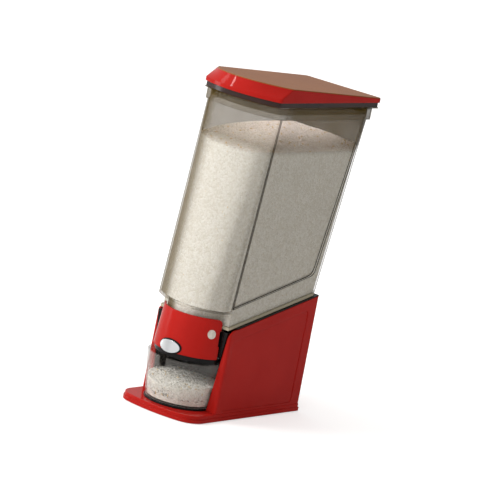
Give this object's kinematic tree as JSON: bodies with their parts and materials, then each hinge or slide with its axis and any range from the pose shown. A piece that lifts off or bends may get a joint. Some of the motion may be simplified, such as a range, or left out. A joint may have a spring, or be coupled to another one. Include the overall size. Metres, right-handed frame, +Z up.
{
  "type": "rice dispenser with drawer",
  "caption": "Tall free-standing rice dispenser: smoky clear hopper with a lift-off lid over a base with a push button, metering gates and a clear pull-out measuring drawer",
  "frame": {"origin": "middle of the overall footprint, on the surface that the feet stand on", "axes": "+Z up, the drawer and button face -Y, +X is the right-hand side seen from the front"},
  "size_m": [0.141, 0.314, 0.49],
  "materials": {
    "red": "gloss",
    "smoke": "clear gloss",
    "clear": "clear gloss",
    "black": "satin",
    "bronze": "satin",
    "pale": "satin",
    "dark_seal": "satin",
    "rubber": "matte",
    "chrome": "polished",
    "steel": "bright",
    "white_moulding": "matte",
    "rice": "matte"
  },
  "bodies": {
    "base": {"base_plate": "red", "base_shell": "red", "drawer_bay": "red", "front_cover": "red", "base_screws": "steel", "rubber_feet": "rubber", "drawer_seat": "black", "hopper_frame": "black", "mechanism_frame": "black", "mechanism_screws": "steel", "metering_chamber": "black", "chute": "black", "button_guide": "black", "guide_screws": "steel", "badge": "pale"},
    "hopper_body": {"hopper": "smoke", "rice_fill": "rice"},
    "lid_body": {"lid_shell": "red", "lid_top_panel": "bronze", "lid_seal": "dark_seal", "lid_liner": "red"},
    "drawer_body": {"drawer": "clear", "drawer_rice": "rice"},
    "button_body": {"push_button": "chrome", "push_rod": "steel", "gate_yoke": "white_moulding", "spring_plate": "white_moulding", "upper_gate": "white_moulding", "lower_gate": "white_moulding", "return_spring": "steel"}
  },
  "joints": [
    {"name": "hopper_lift", "type": "slide", "parent": "base", "child": "hopper_body", "axis": [0, 0, 1], "range_m": [0, 0.2]},
    {"name": "lid_lift", "type": "slide", "parent": "hopper_body", "child": "lid_body", "axis": [0, 0, 1], "range_m": [0, 0.15]},
    {"name": "drawer_slide", "type": "slide", "parent": "base", "child": "drawer_body", "axis": [0, -1, 0], "range_m": [0, 0.11]},
    {"name": "button_press", "type": "slide", "parent": "base", "child": "button_body", "axis": [0, 1, 0], "range_m": [0, 0.011], "stiffness_N_per_m": 150, "springref_m": -0.01, "deforming": ["return_spring"]}
  ]
}
